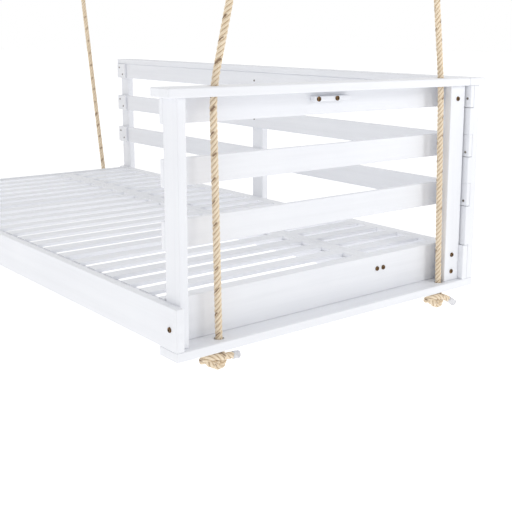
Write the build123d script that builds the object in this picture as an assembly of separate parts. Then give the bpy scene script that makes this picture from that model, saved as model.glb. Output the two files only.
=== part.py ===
"""Porch swing seat: a slatted daybed hung on four ropes, with one end guard and a full back.

Every board, fastener group and rope piece is its own solid.  Sizes are in millimetres.
The boards are set out on a bench frame whose corner is the front right corner of the seat:
X = 0 is the outer face of the right end, and the seat runs towards -X;
Y = 0 is the front face, and the back is towards +Y;
Z = 0 is the top of the two end sills that the ropes hold up.
At the end everything moves to the part's own frame, whose origin is the centre of the four
hanging eyes at the ropes' tops, with +X towards the guarded end, +Y to the back and +Z up.
"""
from build123d import *
from math import atan2, degrees, pi
import os

# ---------------------------------------------------------------- driving dimensions
LENGTH = 2040.0            # end to end
DEPTH = 1037.0             # front face to the back of the back posts
GUARD_HEIGHT = 572.0       # sill top to the underside of the caps
CAP_THICK = 22.0
SILL_WIDTH = 76.0
SILL_THICK = 23.0
RAIL_HEIGHT = 103.0        # long rails, front and rear
RAIL_THICK = 21.0
APRON_HEIGHT = 108.0       # cross boards at the two ends
APRON_THICK = 21.0
APRON_INSET = 64.0         # apron's outer face, in from the end
POST_WIDE = 60.0
POST_THICK = 23.0
POST_INSET = 17.0          # guard posts' outer edge, in from the end
SLAT_THICK = 15.0
SLAT_LEVELS = {"top": (509.0, 572.0), "middle": (366.0, 431.0), "bottom": (221.0, 289.0)}
BACK_POST_THICK = 25.0
BACK_POST_WIDE = 62.0
EASE = 2.5                 # rounding of every board's edges

DECK_TOP = 105.0
DECK_THICK = 10.0
DECK_BAR = 26.0            # the deck panels' long edge bars
DECK_SEAM = 676.5          # where the front and rear deck panels meet
DECK_SLAT = 45.0
DECK_END_SLAT = 25.0
DECK_GAPS = 21
BEARER_SLATS = (6, 14)     # the slats that have a bearer hidden under them, counted from the right
BEARER_WIDE = 32.0
PANEL_GAP = 1.0            # fitting gap round each deck panel
LEDGER = 20.0
LEDGER_DEEP = 42.0         # the ledgers on the two long rails
BEARER_DEEP = 24.0         # the seam ledger and the bearers
JOIST_Y = 685.0            # front face of the pair of joists
JOIST_THICK = 24.0
JOIST_BOTTOM = 38.0
CORNER_BLOCK = 36.0
CORNER_BLOCK_HIGH = 60.0
REAR_POST_DEEP = 33.0      # the guard's rear post, behind its cover board

NOTCH_GAP = 1.2            # clearance under each slat housed in the right back post

CAP_FRONT = 11.0           # how far the guard's cap stands in front of the rail
CAP_REAR = 24.0            # how far the back's cap stands behind the posts
CAP_INNER = 4.0            # how far the back's cap covers past the slats
CAP_EASE = 3.5
CLEAT_THICK = 9.0          # small boards that join the slats at the left end
CAP_CLEAT = {"out": 20.0, "along": (454.0, 575.0), "heights": (544.0, 557.0), "bolts": (466.0, 529.0)}

ROPE_DIA = 18.0
ROPE_HOLE_R = 12.5
HANG_HEIGHT = 975.0        # sill top to the hanging eyes' crowns
ROPE_TOP = 905.0           # where each rope ends in its eye
EYE_RADIUS = 33.0          # centre line of the eye
KNOT_LOOP_R = 17.0         # the knot's turns lie forward along the sill
KNOT_LOOP = (-55.0, 20.0)
KNOT_BULGE_R = 17.0        # and bulge straight under the hole
KNOT_HEIGHT = 52.0
LEVEL_TAIL = ((12.0, -26.0), (38.0, -28.0), (55.0, -30.0))
DROPPED_TAIL = ((12.0, -24.0), (42.0, -37.0), (66.0, -53.0))

BOLT_HEAD_R = 6.5
BOLT_HEAD_T = 3.2
BOLT_SHANK_R = 3.2
BOLT_SHANK_L = 38.0
SCREW_HEAD_R = 3.6
SCREW_HEAD_T = 1.6
SCREW_SHANK_R = 1.8
SCREW_SHANK_L = 9.0
END_SCREW_DROP = {"top": 6.0, "middle": 19.0, "bottom": 19.0}

# ---------------------------------------------------------------- places worked out from them
REAR_FACE = DEPTH - BACK_POST_THICK            # front face of the back posts
REAR_RAIL_Y = REAR_FACE - RAIL_THICK
BACK_SLAT_Y = REAR_FACE - SLAT_THICK
POST_OUT = -POST_INSET
POST_IN = POST_OUT - POST_WIDE
GUARD_SLAT_IN = POST_IN - SLAT_THICK
APRON_IN = -APRON_INSET - APRON_THICK
GUARD_REAR = REAR_RAIL_Y                       # rear edge of the guard
DECK_UNDER = DECK_TOP - DECK_THICK
DECK_RIGHT = APRON_IN - PANEL_GAP
DECK_LEFT = -LENGTH - DECK_RIGHT
MIDDLE_POST_X = -LENGTH / 2

# rope holes: (x, y) in the sill, and (x, y) in the guard's cap where the rope runs through it;
# the tail's start, its cut end and the end of its tape are (y, z) from the hole under the sill
ROPES = {
    "front_right": {"sill": (-31.0, 136.0), "cap": (-38.0, 130.0), "top": (-38.0, 207.0),
                    "tail": LEVEL_TAIL},
    "rear_right": {"sill": (-28.0, 917.0), "cap": (-38.0, 908.0), "top": (-38.0, 866.0),
                   "tail": DROPPED_TAIL},
    "front_left": {"sill": (-2012.0, 136.0), "cap": None, "top": (-2020.0, 222.0),
                   "tail": LEVEL_TAIL},
    "rear_left": {"sill": (-2012.0, 905.0), "cap": None, "top": (-2020.0, 820.0),
                  "tail": LEVEL_TAIL},
}

parts = {}


def solid_box(x, y, z):
    """A plain box from three (low, high) ranges."""
    size = [abs(high - low) for low, high in (x, y, z)]
    centre = [(high + low) / 2 for low, high in (x, y, z)]
    return Pos(*centre) * Box(*size)


def board(name, x, y, z, ease=EASE):
    """A board with eased edges, kept under its name."""
    body = solid_box(x, y, z)
    parts[name] = fillet(body.edges(), ease)


def bore(name, axis_point, direction, radius, reach):
    """Drill a round hole through a named board."""
    tool = Plane(origin=axis_point, z_dir=direction) * Cylinder(radius, 2 * reach)
    parts[name] = parts[name] - tool


# ---------------------------------------------------------------- end sills, rails and aprons
def make_base():
    depth = (0, DEPTH)
    under = (-SILL_THICK, 0)
    board("right_end_sill", (-SILL_WIDTH, 0), depth, under)
    board("left_end_sill", (-LENGTH, -LENGTH + SILL_WIDTH), depth, under)
    board("front_rail", (-LENGTH, 0), (0, RAIL_THICK), (0, RAIL_HEIGHT))
    board("rear_rail", (-LENGTH, 0), (REAR_RAIL_Y, REAR_FACE), (0, RAIL_HEIGHT))
    right_span = (RAIL_THICK + POST_THICK, GUARD_REAR - REAR_POST_DEEP)
    board("right_end_apron", (APRON_IN, -APRON_INSET), right_span, (0, APRON_HEIGHT))
    board("left_end_apron", (-LENGTH + APRON_INSET, -LENGTH - APRON_IN),
          (RAIL_THICK, REAR_RAIL_Y), (0, APRON_HEIGHT))
    corner = (-LENGTH - APRON_IN, -LENGTH - APRON_IN + CORNER_BLOCK)
    blocks = (0, CORNER_BLOCK_HIGH)
    board("front_left_corner_block", corner, (RAIL_THICK, RAIL_THICK + CORNER_BLOCK), blocks)
    board("rear_left_corner_block", corner, (REAR_RAIL_Y - CORNER_BLOCK, REAR_RAIL_Y), blocks)


# ---------------------------------------------------------------- end guard
def make_guard():
    full = (0, GUARD_HEIGHT)
    board("guard_front_post", (POST_IN, POST_OUT), (RAIL_THICK, RAIL_THICK + POST_THICK), full)
    board("guard_rear_cover", (POST_OUT - POST_THICK, POST_OUT), (GUARD_REAR - POST_WIDE, GUARD_REAR), full)
    behind = (GUARD_REAR - REAR_POST_DEEP, GUARD_REAR)
    board("guard_rear_post", (POST_IN, POST_OUT - POST_THICK), behind, full)
    for level, heights in SLAT_LEVELS.items():
        board(f"guard_{level}_slat", (GUARD_SLAT_IN, POST_IN), (RAIL_THICK, GUARD_REAR), heights)
    board("guard_cap", (-SILL_WIDTH, 0), (-CAP_FRONT, BACK_SLAT_Y - CAP_INNER),
          (GUARD_HEIGHT, GUARD_HEIGHT + CAP_THICK), ease=CAP_EASE)
    board("guard_cap_cleat", (POST_IN, POST_IN + CAP_CLEAT["out"]), CAP_CLEAT["along"], CAP_CLEAT["heights"],
          ease=1.5)


# ---------------------------------------------------------------- back
def make_back():
    posts = {"right": -BACK_POST_WIDE / 2, "middle": MIDDLE_POST_X, "left": -LENGTH + BACK_POST_WIDE / 2}
    for side, x in posts.items():
        half = BACK_POST_WIDE / 2
        board(f"back_{side}_post", (x - half, x + half), (REAR_FACE, DEPTH), (0, GUARD_HEIGHT))
    housing = solid_box((-BACK_POST_WIDE, 0), (BACK_SLAT_Y, DEPTH), (0, GUARD_HEIGHT))
    housing = fillet(housing.edges(), EASE)
    housing -= solid_box((-BACK_POST_WIDE, 0), (BACK_SLAT_Y, REAR_FACE), (0, RAIL_HEIGHT + NOTCH_GAP))
    for low, high in SLAT_LEVELS.values():
        housing -= solid_box((-BACK_POST_WIDE, 0), (BACK_SLAT_Y, REAR_FACE), (low - NOTCH_GAP, high))
    parts["back_right_post"] = housing
    for level, heights in SLAT_LEVELS.items():
        board(f"back_{level}_slat", (-LENGTH + 6.0, 0), (BACK_SLAT_Y, REAR_FACE), heights)
        board(f"back_left_{level}_cleat", (-LENGTH + 8.0, -LENGTH + 75.0),
              (BACK_SLAT_Y - CLEAT_THICK, BACK_SLAT_Y), heights, ease=2.0)
    board("back_cap", (-LENGTH, 0), (BACK_SLAT_Y - CAP_INNER, DEPTH + CAP_REAR),
          (GUARD_HEIGHT, GUARD_HEIGHT + CAP_THICK), ease=CAP_EASE)


# ---------------------------------------------------------------- deck
def make_deck():
    across = (DECK_LEFT, DECK_RIGHT)
    level = (DECK_UNDER, DECK_TOP)
    seam = (DECK_SEAM - PANEL_GAP / 2, DECK_SEAM + PANEL_GAP / 2)
    rear_end = REAR_RAIL_Y - PANEL_GAP
    board("front_deck_rear_bar", across, (seam[0] - DECK_BAR, seam[0]), level, ease=1.5)
    board("rear_deck_front_bar", across, (seam[1], seam[1] + DECK_BAR), level, ease=1.5)
    board("rear_deck_rear_bar", across, (rear_end - DECK_BAR, rear_end), level, ease=1.5)
    depths = {"front": (RAIL_THICK + PANEL_GAP, seam[0] - DECK_BAR),
              "rear": (seam[1] + DECK_BAR, rear_end - DECK_BAR)}
    gap = (DECK_RIGHT - DECK_LEFT - 2 * DECK_END_SLAT - (DECK_GAPS - 1) * DECK_SLAT) / DECK_GAPS
    widths = [DECK_END_SLAT] + [DECK_SLAT] * (DECK_GAPS - 1) + [DECK_END_SLAT]
    middles = []
    for panel, depth in depths.items():
        slats = []
        middles.clear()
        right = DECK_RIGHT
        for width in widths:
            slat = solid_box((right - width, right), depth, level)
            slats.append(fillet(slat.edges().filter_by(Axis.Y), 1.5))
            middles.append(right - width / 2)
            right -= width + gap
        parts[f"{panel}_deck_slats"] = Compound(children=slats)

    under = (DECK_UNDER - LEDGER_DEEP, DECK_UNDER)
    inner = (-LENGTH - APRON_IN, APRON_IN)
    short = (inner[0] + CORNER_BLOCK, inner[1])
    board("front_ledger", short, (RAIL_THICK, RAIL_THICK + LEDGER), under)
    board("rear_ledger", short, (REAR_RAIL_Y - LEDGER, REAR_RAIL_Y), under)
    tall = (JOIST_BOTTOM, DECK_UNDER)
    board("front_joist", inner, (JOIST_Y, JOIST_Y + JOIST_THICK), tall)
    board("rear_joist", inner, (JOIST_Y + JOIST_THICK, JOIST_Y + 2 * JOIST_THICK), tall)
    flat = (DECK_UNDER - BEARER_DEEP, DECK_UNDER)
    board("seam_ledger", inner, (JOIST_Y - 2 * LEDGER, JOIST_Y), flat)
    bays = {"front": (RAIL_THICK + LEDGER, JOIST_Y - 2 * LEDGER),
            "rear": (JOIST_Y + 2 * JOIST_THICK, REAR_RAIL_Y - LEDGER)}
    for panel, depth in bays.items():
        bearers = []
        for number in BEARER_SLATS:
            span = (middles[number] - BEARER_WIDE / 2, middles[number] + BEARER_WIDE / 2)
            bearer = solid_box(span, depth, flat)
            bearers.append(fillet(bearer.edges(), EASE))
        parts[f"{panel}_bearers"] = Compound(children=bearers)


# ---------------------------------------------------------------- fasteners
def bolt(point, outward):
    """A button-head bolt with a hexagon socket, its head on the board's face."""
    head = extrude(Circle(BOLT_HEAD_R), BOLT_HEAD_T)
    head = fillet(head.edges().group_by(Axis.Z)[-1], 1.8)
    head -= Pos(0, 0, BOLT_HEAD_T) * extrude(RegularPolygon(2.9, 6), -1.8)
    shank = extrude(Circle(BOLT_SHANK_R), -BOLT_SHANK_L)
    return Plane(origin=point, z_dir=outward).location * (head + shank)


def screw(point, outward):
    """A domed wood screw with a slot across its head."""
    head = extrude(Circle(SCREW_HEAD_R), SCREW_HEAD_T)
    head = fillet(head.edges().group_by(Axis.Z)[-1], 1.0)
    head -= Pos(0, 0, SCREW_HEAD_T) * Box(2 * SCREW_HEAD_R, 1.0, 1.2)
    shank = extrude(Circle(SCREW_SHANK_R), -SCREW_SHANK_L)
    return Plane(origin=point, z_dir=outward).location * (head + shank)


def fasten(group, make, radius, reach, places):
    """Drive one group of equal fasteners, drilling each board that a shank passes."""
    made = []
    for point, outward, boards in places:
        made.append(make(point, outward))
        for name in boards:
            bore(name, point, outward, radius, reach)
    parts[group] = Compound(children=made)


def make_fasteners():
    front, right, left, rear = (0, -1, 0), (1, 0, 0), (-1, 0, 0), (0, 1, 0)
    fasten("front_rail_bolts", bolt, BOLT_SHANK_R, BOLT_SHANK_L, [
        ((-29.0, 0, 50.0), front, ["front_rail", "guard_front_post"]),
        ((-LENGTH + APRON_INSET + 10.0, 0, 50.0), front, ["front_rail", "left_end_apron"]),
        ((-LENGTH + APRON_INSET + 41.0, 0, 30.0), front, ["front_rail", "front_left_corner_block"])])
    cover = [((POST_OUT, GUARD_REAR - 31.5, z), right, ["guard_rear_cover", "guard_rear_post"])
             for z in (28.0, 78.0, 535.0)]
    fasten("guard_post_bolts", bolt, BOLT_SHANK_R, BOLT_SHANK_L, cover)
    joist = [JOIST_Y + JOIST_THICK * (number + 0.5) for number in range(2)]
    fasten("joist_bolts", bolt, BOLT_SHANK_R, BOLT_SHANK_L,
           [((-APRON_INSET, y, 70.0), right, ["right_end_apron", name])
            for y, name in zip(joist, ("front_joist", "rear_joist"))]
           + [((-LENGTH + APRON_INSET, y, 70.0), left, ["left_end_apron", name])
              for y, name in zip(joist, ("front_joist", "rear_joist"))])
    fasten("cap_cleat_bolts", bolt, BOLT_SHANK_R, 30.0,
           [((POST_IN + CAP_CLEAT["out"], y, sum(CAP_CLEAT["heights"]) / 2), right,
             ["guard_cap_cleat", "guard_top_slat"]) for y in CAP_CLEAT["bolts"]])
    fasten("rear_rail_bolts", bolt, BOLT_SHANK_R, BOLT_SHANK_L,
           [((x, DEPTH, z), rear, [post, "rear_rail"])
            for x, post in ((-BACK_POST_WIDE / 2, "back_right_post"), (MIDDLE_POST_X, "back_middle_post"),
                            (-LENGTH + BACK_POST_WIDE / 2, "back_left_post")) for z in (28.0, 78.0)])
    cleats = []
    middles = []
    for level, (low, high) in SLAT_LEVELS.items():
        middle = (low + high) / 2
        for dx, dz in ((-14.0, 15.0), (14.0, -15.0)):
            cleats.append(((-LENGTH + 41.5 + dx, BACK_SLAT_Y - CLEAT_THICK, middle + dz), front,
                           [f"back_left_{level}_cleat"]))
        middles.append(((MIDDLE_POST_X, BACK_SLAT_Y, middle), front, [f"back_{level}_slat"]))
        middles.append(((-12.0, BACK_SLAT_Y, middle - END_SCREW_DROP[level]), front, [f"back_{level}_slat"]))
    fasten("back_cleat_screws", screw, SCREW_SHANK_R, SCREW_SHANK_L, cleats)
    fasten("back_slat_screws", screw, SCREW_SHANK_R, SCREW_SHANK_L, middles)
    inner = [((GUARD_SLAT_IN, y, (low + high) / 2 + dz), left, [f"guard_{level}_slat"])
             for level, (low, high) in SLAT_LEVELS.items()
             for y in (RAIL_THICK + POST_THICK / 2, GUARD_REAR - 16.0) for dz in (-16.0, 16.0)]
    fasten("guard_slat_screws", screw, SCREW_SHANK_R, SCREW_SHANK_L, inner)


# ---------------------------------------------------------------- ropes
def rope_run(name, points, radii):
    """A tube of rope along straight runs joined by tangent arcs."""
    if radii:
        path = FilletPolyline(*points, radius=radii)
    else:
        path = Line(*points)
    start = path @ 0
    section = Plane(origin=start, z_dir=path % 0) * Circle(ROPE_DIA / 2)
    body = sweep(section, path=path)
    parts[name] = body
    ratio = body.volume / (path.length * pi * (ROPE_DIA / 2) ** 2)
    print(f"{name}: length {path.length:.1f} mm, bend radii {radii}, volume ratio {ratio:.4f}")


def make_ropes():
    tapes, eyes, whippings = [], [], []
    for corner, spot in ROPES.items():
        side = corner.split("_")[1]
        foot = (*spot["sill"], -SILL_THICK)
        top = (*spot["top"], ROPE_TOP)
        bore(f"{side}_end_sill", foot, (0, 0, 1), ROPE_HOLE_R, 60.0)
        if spot["cap"]:
            middle = (*spot["cap"], GUARD_HEIGHT + CAP_THICK / 2)
            bore("guard_cap", middle, (0, 0, 1), ROPE_HOLE_R, 60.0)
            rope_run(f"{corner}_rope", [foot, middle, top], [60.0])
            below = middle
        else:
            rope_run(f"{corner}_rope", [foot, top], None)
            below = foot

        knot = extrude(Circle(KNOT_BULGE_R), -KNOT_HEIGHT)
        knot = fillet(knot.edges().group_by(Axis.Z)[0], 12.0)
        turns = Plane(origin=(0, KNOT_LOOP[0], -KNOT_LOOP_R), z_dir=(0, 1, 0))
        loops = extrude(Circle(KNOT_LOOP_R), KNOT_LOOP[1] - KNOT_LOOP[0])
        knot += turns * fillet(loops.edges(), 10.0)
        start, end, tip = [Vector(0, *place) for place in spot["tail"]]
        tail = Plane(origin=start, z_dir=end - start)
        knot += tail * extrude(Circle(ROPE_DIA / 2), (end - start).length)
        parts[f"{corner}_knot"] = Pos(*foot) * knot
        wrap = Plane(origin=end, z_dir=tip - end)
        tape = wrap * extrude(Circle(ROPE_DIA / 2 + 0.4), (tip - end).length)
        tapes.append(Pos(*foot) * (tape - knot))

        lean = degrees(atan2(top[1] - below[1], top[2] - below[2]))
        eye_centre = (top[0], top[1], HANG_HEIGHT - EYE_RADIUS - ROPE_DIA / 2 + 9.0)
        eye = Pos(*eye_centre) * Rot(-lean, 0, 0) * Rot(0, 90, 0) * Torus(EYE_RADIUS, ROPE_DIA / 2)
        share = (ROPE_TOP - 40.0 - below[2]) / (top[2] - below[2])
        collar_at = [low + (high - low) * share for low, high in zip(below, top)]
        collar_dir = [high - low for low, high in zip(below, top)]
        collar = Plane(origin=collar_at, z_dir=collar_dir) * extrude(Circle(ROPE_DIA / 2 + 3.5), 34.0)
        rope = parts[f"{corner}_rope"] - parts[f"{corner}_knot"]
        parts[f"{corner}_rope"] = rope
        eyes.append(eye - rope)
        whippings.append(collar - rope - eye)
    parts["rope_end_tapes"] = Compound(children=tapes)
    parts["hanging_eyes"] = Compound(children=eyes)
    parts["eye_whippings"] = Compound(children=whippings)


# ---------------------------------------------------------------- build and write
make_base()
make_guard()
make_back()
make_deck()
make_fasteners()
make_ropes()

os.makedirs("parts", exist_ok=True)
to_part_frame = Location((LENGTH / 2, -DEPTH / 2, -HANG_HEIGHT))
for name, shape in parts.items():
    export_step(to_part_frame * shape, f"parts/{name}.step")
print(len(parts), "nodes written")
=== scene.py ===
"""Porch swing seat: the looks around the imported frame.

The boards, bolts and screws are the CAD nodes with their own painted and metal materials.
The ropes, their knots, eyes, whippings and taped ends are built here as laid strands.
Everything is in metres, in the row frame.
"""
import bpy
import random
from math import cos, radians, sin, tau
from mathutils import Matrix, Vector, noise


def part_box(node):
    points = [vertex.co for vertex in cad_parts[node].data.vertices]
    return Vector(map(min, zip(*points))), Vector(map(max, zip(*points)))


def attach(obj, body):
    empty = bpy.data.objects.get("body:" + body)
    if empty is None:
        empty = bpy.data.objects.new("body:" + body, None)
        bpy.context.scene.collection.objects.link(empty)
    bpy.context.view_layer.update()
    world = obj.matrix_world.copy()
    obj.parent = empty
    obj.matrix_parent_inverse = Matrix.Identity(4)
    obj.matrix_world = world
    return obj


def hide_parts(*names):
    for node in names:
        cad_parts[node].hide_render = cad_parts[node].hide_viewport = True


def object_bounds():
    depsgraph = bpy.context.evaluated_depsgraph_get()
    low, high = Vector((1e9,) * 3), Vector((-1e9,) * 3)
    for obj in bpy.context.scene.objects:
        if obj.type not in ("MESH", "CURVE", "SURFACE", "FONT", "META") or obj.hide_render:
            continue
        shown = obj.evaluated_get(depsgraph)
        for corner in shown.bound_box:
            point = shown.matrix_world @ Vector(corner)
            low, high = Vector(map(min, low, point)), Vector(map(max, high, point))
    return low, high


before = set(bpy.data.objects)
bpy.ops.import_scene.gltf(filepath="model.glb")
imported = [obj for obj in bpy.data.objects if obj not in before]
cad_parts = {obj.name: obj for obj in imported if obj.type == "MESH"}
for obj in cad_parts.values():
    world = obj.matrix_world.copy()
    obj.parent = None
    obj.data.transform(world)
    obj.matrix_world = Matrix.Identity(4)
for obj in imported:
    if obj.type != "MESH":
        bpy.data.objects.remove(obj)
cad_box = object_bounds()
random.seed(7)

# ---------------------------------------------------------------- where things are
# The bench frame of the CAD, whose corner is the seat's front right sill corner, in the row frame.
# Heights are over the top of the end sills.
BENCH = Vector((1.020, -0.5185, -0.975))
SILL_THICK = 0.023
CAP_MIDDLE = 0.583         # where a rope passes through the guard's cap
ROPE_TOP = 0.905           # where a rope goes into its eye
HANG_HEIGHT = 0.975        # the crowns of the eyes
ROPE_DIA = 0.018
EYE_RADIUS = 0.033

# Where each rope's tail leaves its knot, where it is cut and where its tape ends, as (back, up) from the
# hole under the sill.
LEVEL_TAIL = ((0.012, -0.026), (0.038, -0.028), (0.055, -0.030))
DROPPED_TAIL = ((0.012, -0.024), (0.042, -0.037), (0.066, -0.053))
# Each rope's place at the sill, at the guard's cap and at its top, as (along the seat, back), and the
# turn at which its first strand starts.
ROPES = {
    "front_right": {"sill": (-0.031, 0.136), "cap": (-0.038, 0.130), "top": (-0.038, 0.207),
                    "tail": LEVEL_TAIL, "turn": 0.4},
    "rear_right": {"sill": (-0.028, 0.917), "cap": (-0.038, 0.908), "top": (-0.038, 0.866),
                   "tail": DROPPED_TAIL, "turn": 2.1},
    "front_left": {"sill": (-2.012, 0.136), "cap": None, "top": (-2.020, 0.222),
                   "tail": LEVEL_TAIL, "turn": 1.2},
    "rear_left": {"sill": (-2.012, 0.905), "cap": None, "top": (-2.020, 0.820),
                  "tail": LEVEL_TAIL, "turn": 4.0},
}


# ---------------------------------------------------------------- camera
def make_camera():
    """The photograph's own viewpoint: standing off the front right corner, a little above the guard."""
    yaw, pitch, roll = radians(41.19), radians(10.44), radians(0.65)
    ahead = Vector((-cos(yaw) * cos(pitch), sin(yaw) * cos(pitch), -sin(pitch)))
    right = ahead.cross(Vector((0, 0, 1))).normalized()
    up = right.cross(ahead)
    right, up = cos(roll) * right + sin(roll) * up, cos(roll) * up - sin(roll) * right
    turn = Matrix((right, up, -ahead)).transposed().to_4x4()
    data = bpy.data.cameras.new("camera")
    data.sensor_width = 36.0
    data.lens = 62.5
    data.shift_x = -0.1106
    data.shift_y = -0.1113
    data.clip_end = 200.0
    camera = bpy.data.objects.new("camera", data)
    bpy.context.scene.collection.objects.link(camera)
    camera.matrix_world = Matrix.Translation((2.6467, -1.5430, -0.2666)) @ turn
    bpy.context.scene.camera = camera


# ---------------------------------------------------------------- material helpers
class Nodes:
    """A small wrapper that adds and links shader nodes."""

    def __init__(self, name):
        self.material = bpy.data.materials.new(name)
        self.material.use_nodes = True
        self.tree = self.material.node_tree
        self.shader = self.tree.nodes["Principled BSDF"]

    def add(self, kind, settings=None, **inputs):
        made = self.tree.nodes.new(kind)
        for key, value in (settings or {}).items():
            setattr(made, key, value)
        for key, value in inputs.items():
            self.put(made.inputs[key.replace("_", " ")], value)
        return made

    def put(self, socket, value):
        if isinstance(value, bpy.types.NodeSocket):
            self.tree.links.new(value, socket)
        else:
            socket.default_value = value

    def place(self, scale):
        """Object coordinates, stretched."""
        where = self.add("ShaderNodeTexCoord")
        return self.add("ShaderNodeMapping", Vector=where.outputs["Object"], Scale=scale).outputs[0]

    def noise(self, vector, scale, detail=4.0, roughness=0.55):
        made = self.add("ShaderNodeTexNoise", Vector=vector, Scale=scale, Detail=detail, Roughness=roughness)
        return made.outputs["Fac"]

    def ramp(self, factor, *stops):
        """A colour ramp from (position, colour) stops."""
        made = self.add("ShaderNodeValToRGB", Fac=factor)
        elements = made.color_ramp.elements
        while len(elements) < len(stops):
            elements.new(0.5)
        for element, (position, colour) in zip(elements, stops):
            element.position = position
            element.color = (*colour, 1.0)
        return made.outputs["Color"]

    def mix(self, kind, factor, first, second):
        """Two colours mixed."""
        made = self.add("ShaderNodeMix", {"data_type": "RGBA", "blend_type": kind})
        self.put(made.inputs[0], factor)
        self.put(made.inputs[6], first)
        self.put(made.inputs[7], second)
        return made.outputs[2]

    def span(self, factor, low, high):
        made = self.add("ShaderNodeMapRange", Value=factor, To_Min=low, To_Max=high)
        return made.outputs["Result"]

    def bump(self, height, distance, strength, below=None):
        made = self.add("ShaderNodeBump", Height=height, Distance=distance, Strength=strength)
        if below is not None:
            self.put(made.inputs["Normal"], below)
        return made.outputs["Normal"]


def painted_wood(grain):
    """White satin paint brushed over planed boards, with the grain telegraphing through along one axis."""
    made = Nodes(f"painted_wood_{grain}")
    along = [46.0, 46.0, 46.0]
    along["xyz".index(grain)] = 1.7
    brushed = [210.0, 210.0, 210.0]
    brushed["xyz".index(grain)] = 3.0
    fibre = made.noise(made.place(along), 1.0, 5.0, 0.62)
    bristle = made.noise(made.place(brushed), 1.0, 2.0, 0.5)
    patch = made.noise(made.place((1.0, 1.0, 1.0)), 5.0, 3.0, 0.5)
    grainy = made.ramp(fibre, (0.30, (0.806, 0.818, 0.852)), (0.52, (0.832, 0.845, 0.880)),
                       (0.75, (0.850, 0.861, 0.893)))
    worn = made.ramp(patch, (0.35, (0.975, 0.975, 0.98)), (0.65, (1.0, 1.0, 1.0)))
    made.put(made.shader.inputs["Base Color"], made.mix("MULTIPLY", 1.0, grainy, worn))
    made.put(made.shader.inputs["Roughness"], made.span(bristle, 0.36, 0.54))
    normal = made.bump(fibre, 0.0010, 0.30)
    normal = made.bump(bristle, 0.0004, 0.22, normal)
    made.put(made.shader.inputs["Normal"], normal)
    return made.material


def laid_rope():
    """Pale natural fibre, with painted shade darkening it down between the strands, and a brown marker yarn.
    """
    made = Nodes("laid_rope")
    fine = made.noise(made.place((1.0, 1.0, 0.55)), 900.0, 3.0, 0.6)
    patch = made.noise(made.place((1.0, 1.0, 1.0)), 60.0, 3.0, 0.5)
    hollow = made.add("ShaderNodeAttribute", {"attribute_name": "hollow"}).outputs["Fac"]
    marker = made.add("ShaderNodeAttribute", {"attribute_name": "marker"}).outputs["Fac"]
    # painted shade: the fibre goes from pale on the strands' crests to dark brown down between the strands
    crease_shaded_colour = made.ramp(hollow, (0.06, (0.90, 0.775, 0.60)), (0.45, (0.74, 0.595, 0.42)),
                      (0.88, (0.38, 0.28, 0.175)))
    tone = made.ramp(patch, (0.30, (0.90, 0.88, 0.85)), (0.66, (1.0, 1.0, 1.0)))
    fibre = made.ramp(fine, (0.30, (0.80, 0.77, 0.72)), (0.62, (1.0, 1.0, 1.0)))
    colour = made.mix("MULTIPLY", 1.0, crease_shaded_colour, tone)
    colour = made.mix("MULTIPLY", 0.8, colour, fibre)
    colour = made.mix("MIX", marker, colour, (0.17, 0.085, 0.035, 1.0))
    made.put(made.shader.inputs["Base Color"], colour)
    made.put(made.shader.inputs["Roughness"], 0.82)
    made.put(made.shader.inputs["Sheen Weight"], 0.2)
    made.put(made.shader.inputs["Sheen Roughness"], 0.5)
    made.put(made.shader.inputs["Normal"], made.bump(fine, 0.0006, 0.6))
    return made.material


def cloth_tape():
    """Grubby white cloth tape, wound round the tails' cut ends."""
    made = Nodes("cloth_tape")
    weave = made.noise(made.place((1.0, 0.25, 1.0)), 700.0, 2.0, 0.5)
    patch = made.noise(made.place((1.0, 1.0, 1.0)), 120.0, 3.0, 0.5)
    made.put(made.shader.inputs["Base Color"],
             made.ramp(patch, (0.3, (0.52, 0.52, 0.55)), (0.7, (0.80, 0.80, 0.82))))
    made.put(made.shader.inputs["Roughness"], 0.55)
    made.put(made.shader.inputs["Normal"], made.bump(weave, 0.0005, 0.5))
    return made.material


def whipping_twine():
    """Brown waxed twine."""
    made = Nodes("whipping_twine")
    fine = made.noise(made.place((1.0, 1.0, 1.0)), 800.0, 3.0, 0.6)
    made.put(made.shader.inputs["Base Color"],
             made.ramp(fine, (0.3, (0.34, 0.22, 0.11)), (0.7, (0.56, 0.40, 0.23))))
    made.put(made.shader.inputs["Roughness"], 0.8)
    made.put(made.shader.inputs["Normal"], made.bump(fine, 0.0004, 0.5))
    return made.material


def bronzed_steel(name, dark, light, roughness):
    """Mottled metal between two colours."""
    made = Nodes(name)
    mottle = made.noise(made.place((1.0, 1.0, 1.0)), 260.0, 4.0, 0.6)
    made.put(made.shader.inputs["Base Color"], made.ramp(mottle, (0.35, dark), (0.68, light)))
    made.put(made.shader.inputs["Metallic"], 0.85)
    made.put(made.shader.inputs["Roughness"], made.span(mottle, roughness, roughness + 0.2))
    made.put(made.shader.inputs["Normal"], made.bump(mottle, 0.0002, 0.3))
    return made.material


WOOD = {grain: painted_wood(grain) for grain in "xyz"}
ROPE = laid_rope()
TAPE = cloth_tape()
TWINE = whipping_twine()
BOLT = bronzed_steel("bronzed_bolt", (0.035, 0.024, 0.014), (0.30, 0.17, 0.075), 0.30)
SCREW = bronzed_steel("dull_screw", (0.10, 0.09, 0.08), (0.38, 0.34, 0.28), 0.38)


def dress_boards():
    """Each board's grain runs along its longest side, and a group of slats along the slats."""
    for name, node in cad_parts.items():
        if name.endswith("bolts"):
            material = BOLT
        elif name.endswith("screws"):
            material = SCREW
        elif name.endswith(("deck_slats", "bearers")):
            material = WOOD["y"]
        else:
            low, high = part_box(name)
            size = high - low
            material = WOOD["xyz"[list(size).index(max(size))]]
        node.data.materials.clear()
        node.data.materials.append(material)


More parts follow.
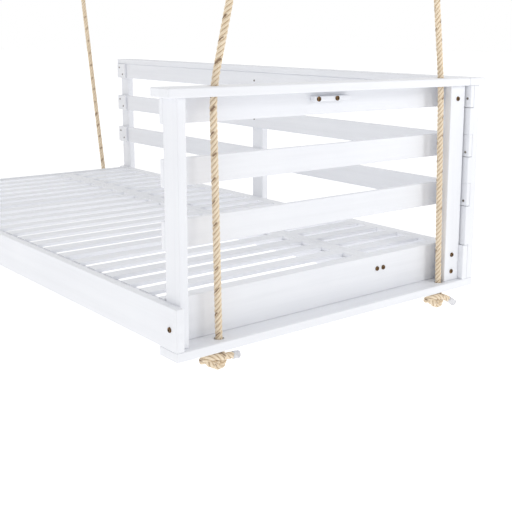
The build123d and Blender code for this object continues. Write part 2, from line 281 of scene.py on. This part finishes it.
# ---------------------------------------------------------------- swept strands
def smooth_line(points, name):
    """Points read along a quadratic NURBS spline through a given route."""
    curve = bpy.data.curves.new(name, "CURVE")
    curve.dimensions = "3D"
    curve.resolution_u = 24
    spline = curve.splines.new("NURBS")
    spline.points.add(len(points) - 1)
    for point, place in zip(spline.points, points):
        point.co = (*place, 1.0)
    spline.order_u = 3
    spline.use_endpoint_u = True
    holder = bpy.data.objects.new(name, curve)
    bpy.context.scene.collection.objects.link(holder)
    bpy.context.view_layer.update()
    mesh = bpy.data.meshes.new_from_object(holder.evaluated_get(bpy.context.evaluated_depsgraph_get()))
    line = [v.co.copy() for v in mesh.vertices]
    bpy.data.objects.remove(holder)
    bpy.data.curves.remove(curve)
    bpy.data.meshes.remove(mesh)
    return line


def even(line, step):
    """The same line with its points a step apart."""
    lengths = [(b - a).length for a, b in zip(line, line[1:])]
    count = max(2, round(sum(lengths) / step))
    spaced = [line[0]]
    index, walked = 0, 0.0
    for number in range(1, count):
        target = sum(lengths) * number / count
        while walked + lengths[index] < target:
            walked += lengths[index]
            index += 1
        spaced.append(line[index].lerp(line[index + 1], (target - walked) / lengths[index]))
    spaced.append(line[-1])
    return spaced


def frames(line, closed=False):
    """A direction and two steady side vectors at each point of a line."""
    made = []
    side = None
    for index, point in enumerate(line):
        if closed:
            ahead = line[(index + 1) % len(line)] - line[index - 1]
        else:
            ahead = line[min(index + 1, len(line) - 1)] - line[max(index - 1, 0)]
        ahead.normalize()
        if side is None:
            side = ahead.orthogonal()
        side = (side - ahead * side.dot(ahead)).normalized()
        made.append((point, ahead, side, ahead.cross(side)))
    return made


def tube(line, radius_at, around, closed=False):
    """Vertices and faces of a tube; radius_at(step, angle) gives its surface."""
    verts, faces = [], []
    rings = frames(line, closed)
    for step, (point, _, side, other) in enumerate(rings):
        for k in range(around):
            angle = tau * k / around
            verts.append(point + (side * cos(angle) + other * sin(angle)) * radius_at(step, angle))
    last = len(rings) if closed else len(rings) - 1
    for step in range(last):
        for k in range(around):
            a, b = step * around + k, step * around + (k + 1) % around
            following = ((step + 1) % len(rings)) * around
            faces.append((a, b, following + (k + 1) % around, following + k))
    if not closed:
        faces.append(tuple(reversed(range(around))))
        faces.append(tuple(range((len(rings) - 1) * around, len(rings) * around)))
    return verts, faces


def piece(name, verts, faces, material, nodes, shades=None):
    """One mesh piece on the one body, which stands for the CAD nodes named."""
    mesh = bpy.data.meshes.new(name)
    mesh.from_pydata([tuple(v) for v in verts], [], faces)
    mesh.update()
    mesh.shade_smooth()
    for key, values in (shades or {}).items():
        attribute = mesh.attributes.new(key, "FLOAT", "POINT")
        attribute.data.foreach_set("value", values)
    mesh.materials.append(material)
    made = bpy.data.objects.new(name, mesh)
    bpy.context.scene.collection.objects.link(made)
    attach(made, "root")
    if nodes:
        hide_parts(*nodes)
    return made


STEP = 0.0030              # between the rings of a strand
STRANDS = 4
STRAND_RADIUS = 0.0040
STRAND_CENTRE = 0.0050     # from the rope's middle to a strand's
STRAND_SIDES = 14
CORE_RADIUS = 0.0030
LAY = 0.053                # length of one full turn of the strands
YARN_LAY = 0.0135
YARN_RELIEF = 0.055        # of a strand's radius
# the painted crease shade runs from none at the crest radius to full at the inner radius
CREST, HOLLOW = 0.0089, 0.0057
MARKER_GAP = LAY / 2       # a brown marker yarn surfaces on one strand up to twice a turn
MARKER_SHOWS = 0.8
MARKER_DEPTH = 0.0086      # it shows only this far out from the rope's middle
MARKER_TINT = 0.85
HAIR_REACH = 0.0032
HAIR_WIDTH = 0.00014
HAIR_FOOT = 0.0014         # how deep under the rope's outside a hair starts


class LaidRope:
    """Four strands laid right-handed round a line, each with the twist of its own yarns."""

    def __init__(self, line, closed=False, start=0.0):
        self.verts, self.faces, self.hollow, self.marker = [], [], [], []
        rings = frames(line, closed)
        self.rings = rings
        step_length = (line[1] - line[0]).length
        total = step_length * len(line)
        turns = round(total / LAY) if closed else total / LAY
        core, core_faces = tube(line, lambda step, angle: CORE_RADIUS, 6, closed)
        # the core lies deepest in and gets full painted shade
        self.join(core, core_faces, [1.0] * len(core), [0.0] * len(core))
        marks = []
        reach = MARKER_GAP * 0.3
        while reach < total:
            if random.random() < MARKER_SHOWS:
                marks.append((reach + random.uniform(-0.004, 0.004), random.uniform(0.0035, 0.007)))
            reach += MARKER_GAP
        for strand in range(STRANDS):
            path = []
            for step, (point, _, side, other) in enumerate(rings):
                angle = start + tau * (turns * step / len(rings) + strand / STRANDS)
                wobble = 1.0 + 0.03 * sin(step * 0.37 + strand * 1.9)
                path.append(point + (side * cos(angle) + other * sin(angle)) * STRAND_CENTRE * wobble)

            def surface(step, angle, strand=strand):
                yarns = YARN_RELIEF * cos(4 * angle - tau * step * step_length / YARN_LAY + strand)
                return STRAND_RADIUS * (1.0 + yarns)

            verts, faces = tube(path, surface, STRAND_SIDES, closed)
            crease_shades, marked = [], []
            for number, vert in enumerate(verts):
                step = number // STRAND_SIDES
                out = (vert - rings[step][0]).length
                # painted shade: 0 on a strand's crest, 1 down between the strands
                crease_shades.append(min(1.0, max(0.0, (CREST - out) / (CREST - HOLLOW))))
                near = any(abs(step * step_length - at) < half for at, half in marks)
                marked.append(MARKER_TINT if strand == 0 and near and out > MARKER_DEPTH else 0.0)
            self.join(verts, faces, crease_shades, marked)

    def join(self, verts, faces, hollow, marker):
        """More of the same mesh, with its shades."""
        self.faces += [tuple(i + len(self.verts) for i in face) for face in faces]
        self.verts += verts
        self.hollow += hollow
        self.marker += marker

    def fuzz(self, count):
        """Stray hairs that stand off the rope."""
        for _ in range(count):
            point, ahead, side, other = self.rings[random.randrange(2, len(self.rings) - 2)]
            angle = random.uniform(0, tau)
            out = side * cos(angle) + other * sin(angle)
            foot = point + out * (ROPE_DIA / 2 - HAIR_FOOT)
            lift = out * random.uniform(0.3, 1.0) + ahead * random.uniform(-1.0, 1.0)
            tip = foot + lift.normalized() * random.uniform(0.4, 1.0) * HAIR_REACH
            across = out.cross(lift).normalized() * HAIR_WIDTH
            verts = [foot - across, foot + across, foot + out * 0.0002, tip]
            faces = [(0, 1, 3), (1, 2, 3), (2, 0, 3), (0, 2, 1)]
            # the hairs get a little painted shade
            self.join(verts, faces, [0.1] * 4, [0.0] * 4)

    def piece(self, name, nodes):
        """The finished object."""
        shades = {"hollow": self.hollow, "marker": self.marker}
        return piece(name, self.verts, self.faces, ROPE, nodes, shades=shades)


# ---------------------------------------------------------------- ropes
def hole_under_sill(spot):
    return BENCH + Vector((*spot["sill"], -SILL_THICK))


def route_of(spot):
    """The rope's route, from under the sill up to its eye, with a point six diameters from each edge."""
    foot = hole_under_sill(spot)
    top = BENCH + Vector((*spot["top"], ROPE_TOP))
    near = 6 * ROPE_DIA
    if not spot["cap"]:
        return [foot, foot + (top - foot).normalized() * near, top]
    bend = BENCH + Vector((*spot["cap"], CAP_MIDDLE))
    below = bend + (foot - bend).normalized() * near
    above = bend + (top - bend).normalized() * near
    return [foot, below, bend, above, top]


def make_rope(corner, spot):
    line = even(smooth_line(route_of(spot), corner), STEP)
    laid = LaidRope(line, start=spot["turn"])
    laid.fuzz(380)
    return laid.piece(f"{corner}_laid_rope", [f"{corner}_rope"]), line


# A stopper knot's turns, from the sill's underside: down into a bulge, forward under the sill in a
# loop, and back across the outside of itself to the tail.  Each row is across, back and up, in metres.
KNOT_ROUTE = [
    (0.000, 0.000, 0.004), (0.000, 0.004, -0.012), (0.002, 0.012, -0.030), (0.004, 0.004, -0.046),
    (0.000, -0.012, -0.044), (-0.006, -0.026, -0.030), (-0.010, -0.038, -0.026), (-0.002, -0.048, -0.024),
    (0.010, -0.045, -0.014), (0.016, -0.032, -0.012), (0.018, -0.016, -0.014), (0.018, -0.002, -0.017),
]
TUCK_ROUTE = [
    (-0.008, 0.006, -0.010), (-0.016, -0.008, -0.012), (-0.008, -0.030, -0.011), (0.004, -0.044, -0.012),
    (0.014, -0.036, -0.030), (0.008, -0.018, -0.034), (-0.004, 0.004, -0.028),
]
TAIL_OFFSET = Vector((0.009, -0.005, 0.004))      # the tail lies on the knot's outer side
TAPE_RADIUS = 0.0096
TAPE_STEPS = 10


def make_knot(corner, spot):
    """The knot under the sill, with its tail and the tape round the tail's cut end."""
    foot = hole_under_sill(spot)
    start, end, tip = [Vector((0.0, *place)) + TAIL_OFFSET for place in spot["tail"]]
    route = [Vector(p) for p in KNOT_ROUTE] + [start, start.lerp(end, 0.6), end]
    knot = LaidRope(even(smooth_line([foot + p for p in route], corner), STEP))
    tuck = LaidRope(even(smooth_line([foot + Vector(p) for p in TUCK_ROUTE], corner), STEP))
    knot.join(tuck.verts, tuck.faces, tuck.hollow, tuck.marker)
    knot.fuzz(80)
    made = knot.piece(f"{corner}_stopper_knot", [f"{corner}_knot"])

    ring_line = [foot + end.lerp(tip, n / TAPE_STEPS) for n in range(-1, TAPE_STEPS + 1)]

    def wrapped(step, angle):
        around = Vector((cos(angle) * 1.6, sin(angle) * 1.6, step * 0.5))
        edge = 0.10 * (step == 0) - 0.06 * (step > TAPE_STEPS)
        return TAPE_RADIUS * (1.0 - edge + 0.09 * noise.noise(around))

    verts, faces = tube(ring_line, wrapped, 24)
    tape = piece(f"{corner}_tape", verts, faces, TAPE, [])
    return made, tape


EYE_SQUEEZE = 0.92         # an eye's width over its height
EYE_STEP = 0.0035
WHIP_TURNS = 13
WHIP_SIDES = 16
WHIP_START = 0.040         # below the top of the rope
WHIP_LENGTH = 0.034
WHIP_RADIUS = 0.0105
SLEEVE_RADIUS = 0.0102
SLEEVE_STEPS = 6
TWINE_RADIUS = 0.0014


def make_eye(corner, spot, line):
    """The rope's end laid back on itself into an eye, with twine whipped round its throat."""
    top = line[-1]
    lean = (line[-1] - line[-8]).normalized()
    level = BENCH.z + HANG_HEIGHT - EYE_RADIUS
    centre = Vector((top.x, BENCH.y + spot["top"][1], level))
    across = Vector((0, 1, 0))
    upward = Vector((0, 0, 1))
    turn = Matrix.Rotation(-lean.angle(upward) * (1 if lean.y > 0 else -1), 3, "X")
    count = round(tau * EYE_RADIUS / EYE_STEP)
    ring = []
    for n in range(count):
        angle = tau * n / count
        spot_on = across * sin(angle) * EYE_RADIUS * EYE_SQUEEZE - upward * cos(angle) * EYE_RADIUS
        ring.append(centre + turn @ spot_on)
    eye = LaidRope(ring, closed=True).piece(f"{corner}_eye", [])

    twine = []
    start = top - lean * WHIP_START
    side = lean.orthogonal().normalized()
    other = lean.cross(side)
    for n in range(WHIP_TURNS * WHIP_SIDES + 1):
        angle = tau * n / WHIP_SIDES
        out = (side * cos(angle) + other * sin(angle)) * WHIP_RADIUS
        twine.append(start + lean * WHIP_LENGTH * n / (WHIP_TURNS * WHIP_SIDES) + out)
    verts, faces = tube(twine, lambda step, angle: TWINE_RADIUS, 7)
    sleeve = [start + lean * WHIP_LENGTH * n / SLEEVE_STEPS for n in range(SLEEVE_STEPS + 1)]
    more_verts, more_faces = tube(sleeve, lambda step, angle: SLEEVE_RADIUS, 20)
    faces += [tuple(i + len(verts) for i in face) for face in more_faces]
    verts += more_verts
    whipping = piece(f"{corner}_whipping", verts, faces, TWINE, [])
    return eye, whipping


def make_ropes():
    """The four ropes, each with its knot, tape, eye and whipping; the CAD nodes of the tapes, eyes and
    whippings are hidden.
    """
    tapes, eyes, whippings = [], [], []
    for corner, spot in ROPES.items():
        rope, line = make_rope(corner, spot)
        knot, tape = make_knot(corner, spot)
        eye, whipping = make_eye(corner, spot, line)
        tapes.append(tape)
        eyes.append(eye)
        whippings.append(whipping)
        length = sum((b - a).length for a, b in zip(line, line[1:]))
        tuple(line[0])
        [tuple(p) for p in line]
    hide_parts("rope_end_tapes")
    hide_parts("hanging_eyes")
    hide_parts("eye_whippings")


# ---------------------------------------------------------------- stage and light
# The studio's brightness away from its bright side, and overhead.  It is 1 on the bright side.
BEHIND = 0.80
OVERHEAD = 0.95
BRIGHT_SIDE = (-0.75, 0.66, 0.0)
FLOOR_DROP = 0.42          # from the lowest knot to the floor
FLOOR_REACH = 55.0


def make_stage():
    """A pale floor well below the hanging seat, lit to near white, and soft even light."""
    scene = bpy.context.scene
    low = cad_box[0][2] - FLOOR_DROP
    mesh = bpy.data.meshes.new("floor")
    sides = [(-1, -1), (1, -1), (1, 1), (-1, 1)]
    mesh.from_pydata([(x * FLOOR_REACH, y * FLOOR_REACH, low) for x, y in sides], [], [(0, 1, 2, 3)])
    floor = bpy.data.objects.new("floor", mesh)
    scene.collection.objects.link(floor)
    pale = Nodes("pale_floor")
    pale.put(pale.shader.inputs["Base Color"], (0.93, 0.93, 0.93, 1.0))
    pale.put(pale.shader.inputs["Roughness"], 0.9)
    pale.put(pale.shader.inputs["Emission Color"], (1.0, 1.0, 1.0, 1.0))
    pale.put(pale.shader.inputs["Emission Strength"], 0.40)
    mesh.materials.append(pale.material)

    scene.world = studio_world()
    scene.view_settings.view_transform = "Standard"
    area_light("key", (2.36, 0.85, 0.15), (0.9, 0.0, -0.6), 0.40, 6.0)
    area_light("fill", (0.4, -3.4, 0.2), (-0.2, 0.0, -0.8), 2.4, 7.0)


def studio_world():
    """White on one side, dimmer on the other and overhead, so that the lamps shape the faces."""
    world = bpy.data.worlds.new("studio")
    world.use_nodes = True
    nodes, links = world.node_tree.nodes, world.node_tree.links
    where = nodes.new("ShaderNodeTexCoord")
    ahead = nodes.new("ShaderNodeVectorMath")
    ahead.operation = "DOT_PRODUCT"
    ahead.inputs[1].default_value = BRIGHT_SIDE
    front = nodes.new("ShaderNodeMapRange")
    front.inputs["From Min"].default_value = 0.0
    front.inputs["From Max"].default_value = 0.7
    front.inputs["To Min"].default_value = BEHIND
    front.inputs["To Max"].default_value = 1.0
    split = nodes.new("ShaderNodeSeparateXYZ")
    above = nodes.new("ShaderNodeMapRange")
    above.inputs["From Min"].default_value = 0.12
    above.inputs["From Max"].default_value = 0.8
    above.inputs["To Min"].default_value = 1.0
    above.inputs["To Max"].default_value = OVERHEAD
    both = nodes.new("ShaderNodeMath")
    both.operation = "MULTIPLY"
    links.new(where.outputs["Generated"], ahead.inputs[0])
    links.new(where.outputs["Generated"], split.inputs[0])
    links.new(ahead.outputs["Value"], front.inputs["Value"])
    links.new(split.outputs["Z"], above.inputs["Value"])
    links.new(front.outputs[0], both.inputs[0])
    links.new(above.outputs[0], both.inputs[1])
    links.new(both.outputs[0], nodes["Background"].inputs["Strength"])
    nodes["Background"].inputs["Color"].default_value = (1.0, 1.0, 1.0, 1.0)
    return world


def area_light(name, place, target, size, power):
    data = bpy.data.lights.new(name, "AREA")
    data.size = size
    data.energy = power
    light = bpy.data.objects.new(name, data)
    bpy.context.scene.collection.objects.link(light)
    ahead = Vector(target) - Vector(place)
    light.matrix_world = Matrix.Translation(place) @ ahead.to_track_quat("-Z", "Y").to_matrix().to_4x4()


make_camera()
make_ropes()
dress_boards()
make_stage()
